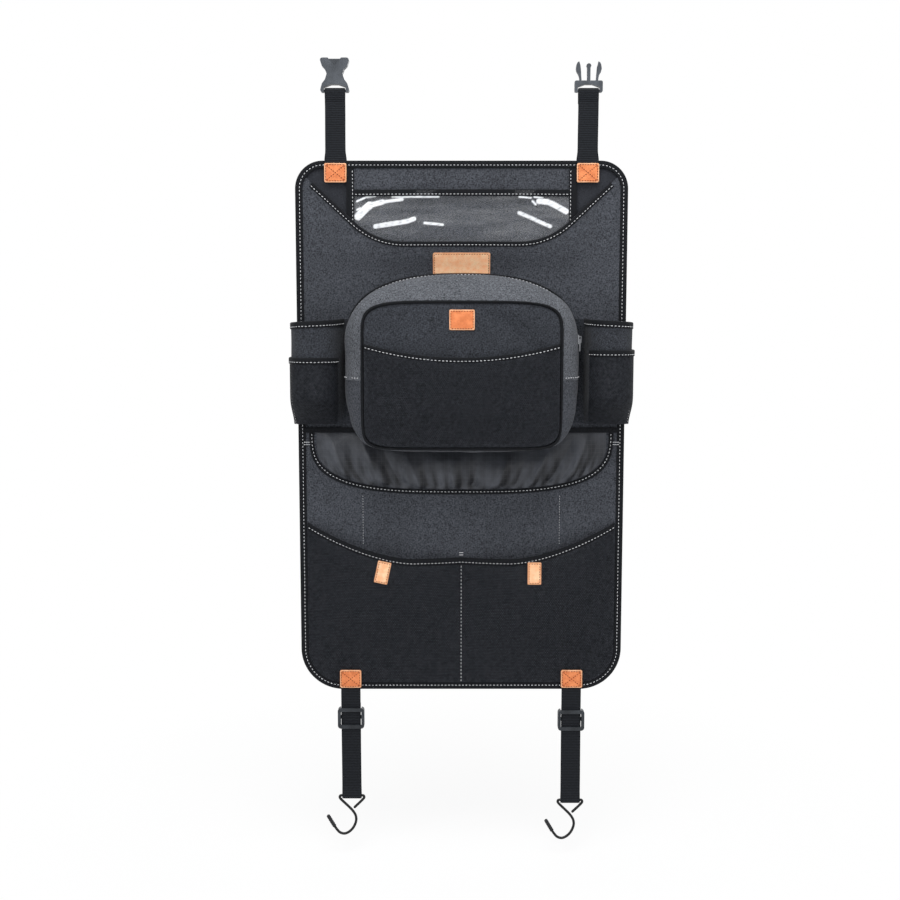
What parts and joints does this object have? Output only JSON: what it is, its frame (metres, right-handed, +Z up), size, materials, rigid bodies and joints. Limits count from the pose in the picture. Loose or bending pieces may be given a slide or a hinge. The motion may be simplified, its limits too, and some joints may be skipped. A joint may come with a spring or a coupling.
{
  "type": "car seat back organizer",
  "caption": "Hanging fabric organizer for a car seat back, with a domed zipped pouch, bottle, map, window and net pockets, buckle straps and wire hooks.",
  "frame": {"origin": "middle of the back panel's flat rear face, which lies against the seat", "axes": "+X to the right as seen from the front, +Y to the rear, out of the back panel's rear face, +Z up towards the buckle straps"},
  "size_m": [0.42, 0.0844, 0.978],
  "materials": {
    "canvas": "matte heather canvas",
    "lining": "smooth woven lining",
    "tape": "ribbed woven tape with light stitching",
    "nylon": "thin ripstop with a soft sheen",
    "net": "see-through net",
    "film": "clear glossy film",
    "leather": "matte tan",
    "webbing": "ribbed webbing",
    "plastic": "moulded, semi-matte",
    "sleeve": "soft ribbed vinyl",
    "wire": "black coated wire",
    "metal": "dark nickel"
  },
  "bodies": {
    "organizer": {"back_panel": "lining", "edge_binding": "tape", "window_panel": "canvas", "window_film": "film", "window_binding": "tape", "window_tape_left": "tape", "window_tape_right": "tape", "front_panel": "canvas", "scoop_binding": "tape", "label_patch": "leather", "pouch_back": "canvas", "pouch_gusset_rear": "canvas", "zipper_tape": "tape", "pouch_gusset_front": "canvas", "pouch_gusset_lower": "canvas", "pouch_piping": "tape", "pouch_front": "canvas", "pouch_label": "leather", "pouch_mesh": "net", "pouch_mesh_binding": "tape", "bottle_pocket_left": "canvas", "bottle_binding_left": "tape", "bottle_mesh_left": "net", "bottle_mesh_binding_left": "tape", "bottle_band_left": "tape", "bottle_pocket_right": "canvas", "bottle_binding_right": "tape", "bottle_mesh_right": "net", "bottle_mesh_binding_right": "tape", "bottle_band_right": "tape", "gathered_pocket": "nylon", "gathered_binding": "tape", "mesh_pocket": "net", "mesh_pocket_binding": "tape", "tab_left": "leather", "tab_right": "leather", "patch_top_left": "leather", "patch_top_right": "leather", "patch_foot_left": "leather", "patch_foot_right": "leather", "strap_top_left": "webbing", "strap_top_right": "webbing", "strap_foot_left": "webbing", "strap_foot_right": "webbing"},
    "socket": {"buckle_socket": "plastic"},
    "plug": {"buckle_plug": "plastic"},
    "glide_left": {"tri_glide_left": "plastic"},
    "glide_right": {"tri_glide_right": "plastic"},
    "left_hook": {"hook_left": "wire", "hook_sleeve_left": "sleeve"},
    "right_hook": {"hook_right": "wire", "hook_sleeve_right": "sleeve"},
    "slider": {"zipper_slider": "metal"},
    "pull": {"zipper_pull": "metal"}
  },
  "joints": [
    {"name": "socket_swing", "type": "hinge", "parent": "organizer", "child": "socket", "pos_m": [-0.1526, -0.00665, 0.4115], "axis": [1, 0, 0], "range_deg": [-75, 75]},
    {"name": "plug_swing", "type": "hinge", "parent": "organizer", "child": "plug", "pos_m": [0.1526, -0.00665, 0.4115], "axis": [1, 0, 0], "range_deg": [-75, 75]},
    {"name": "glide_left_slide", "type": "slide", "parent": "organizer", "child": "glide_left", "axis": [0, 0, 1], "range_m": [-0.062, 0.003]},
    {"name": "glide_right_slide", "type": "slide", "parent": "organizer", "child": "glide_right", "axis": [0, 0, 1], "range_m": [-0.062, 0.003]},
    {"name": "hook_left_swing", "type": "hinge", "parent": "organizer", "child": "left_hook", "pos_m": [-0.14, -0.0082, -0.4695], "axis": [1, 0, 0], "range_deg": [-100, 100]},
    {"name": "hook_right_swing", "type": "hinge", "parent": "organizer", "child": "right_hook", "pos_m": [0.14, -0.0082, -0.4755], "axis": [1, 0, 0], "range_deg": [-100, 100]},
    {"name": "zip_slide", "type": "slide", "parent": "organizer", "child": "slider", "axis": [0, 0, 1], "range_m": [-0.04, 0]},
    {"name": "pull_swing", "type": "hinge", "parent": "slider", "child": "pull", "pos_m": [0.1442, -0.0202, 0.114], "axis": [0, -1, 0], "range_deg": [0, 20]}
  ]
}
